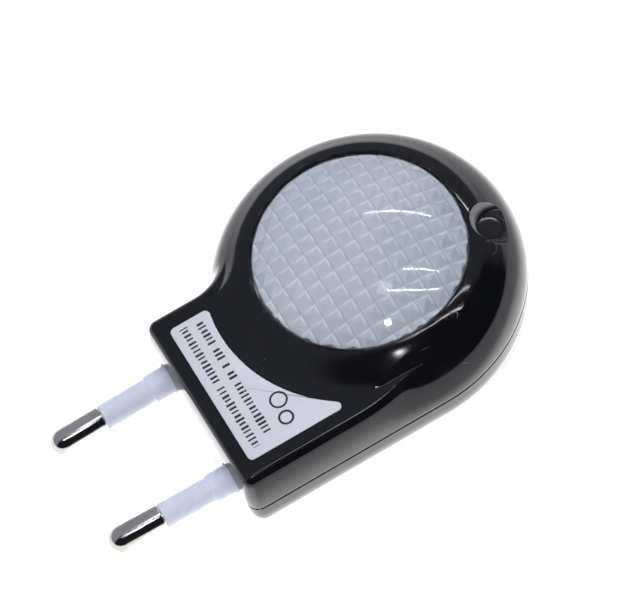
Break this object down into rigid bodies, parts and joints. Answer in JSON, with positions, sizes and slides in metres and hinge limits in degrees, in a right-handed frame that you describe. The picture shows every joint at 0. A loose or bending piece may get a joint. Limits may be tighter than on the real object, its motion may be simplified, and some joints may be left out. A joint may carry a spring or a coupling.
{
  "type": "plug-in sensor night light",
  "caption": "Black plug-in night light with a domed prismatic diffuser, a recessed light sensor and a two-pin mains plug on its neck; a small sealed mains gadget that lies on its flat back.",
  "frame": {"origin": "the middle of the plug face, halfway between the two pins and on their axes", "axes": "+X runs across the pins, +Y runs from the pins to the round head, +Z leaves through the diffuser"},
  "size_m": [0.0464, 0.0748, 0.0202],
  "materials": {
    "shell": "black moulded plastic, high gloss",
    "diffuser": "translucent milky plastic, glossy outside, prism pattern inside",
    "smoked_window": "dark smoked clear plastic",
    "label": "silver-grey film label, satin",
    "pin_metal": "bright nickel plating on brass",
    "sleeve": "pale translucent insulating plastic, satin",
    "board": "paper laminate circuit board",
    "led_epoxy": "clear epoxy over a pale phosphor",
    "sensor_epoxy": "dark tinted epoxy",
    "capacitor_red": "dipped brick-red epoxy",
    "capacitor_can": "dark shrink sleeve",
    "moulded_body": "black moulding compound",
    "resistor_body": "tan lacquer",
    "wire_red": "red wire insulation",
    "wire_black": "black wire insulation",
    "screw_steel": "zinc-plated steel"
  },
  "bodies": {
    "root": {"front_shell": "shell", "back_shell": "shell", "diffuser_lens": "diffuser", "sensor_window": "smoked_window", "rating_label": "label", "plug_pin_left": "pin_metal", "plug_pin_right": "pin_metal", "pin_sleeve_left": "sleeve", "pin_sleeve_right": "sleeve", "circuit_board": "board", "led_1": "led_epoxy", "led_2": "led_epoxy", "led_3": "led_epoxy", "led_4": "led_epoxy", "light_sensor": "sensor_epoxy", "film_capacitor": "capacitor_red", "electrolytic_capacitor": "capacitor_can", "rectifier_diode_1": "moulded_body", "rectifier_diode_2": "moulded_body", "rectifier_diode_3": "moulded_body", "rectifier_diode_4": "moulded_body", "fusible_resistor": "resistor_body", "bleed_resistor": "resistor_body", "led_resistor": "resistor_body", "divider_resistor": "resistor_body", "transistor": "moulded_body", "lead_wire_left": "wire_red", "lead_wire_right": "wire_black", "shell_screw_1": "screw_steel", "shell_screw_2": "screw_steel", "shell_screw_3": "screw_steel"}
  },
  "joints": []
}
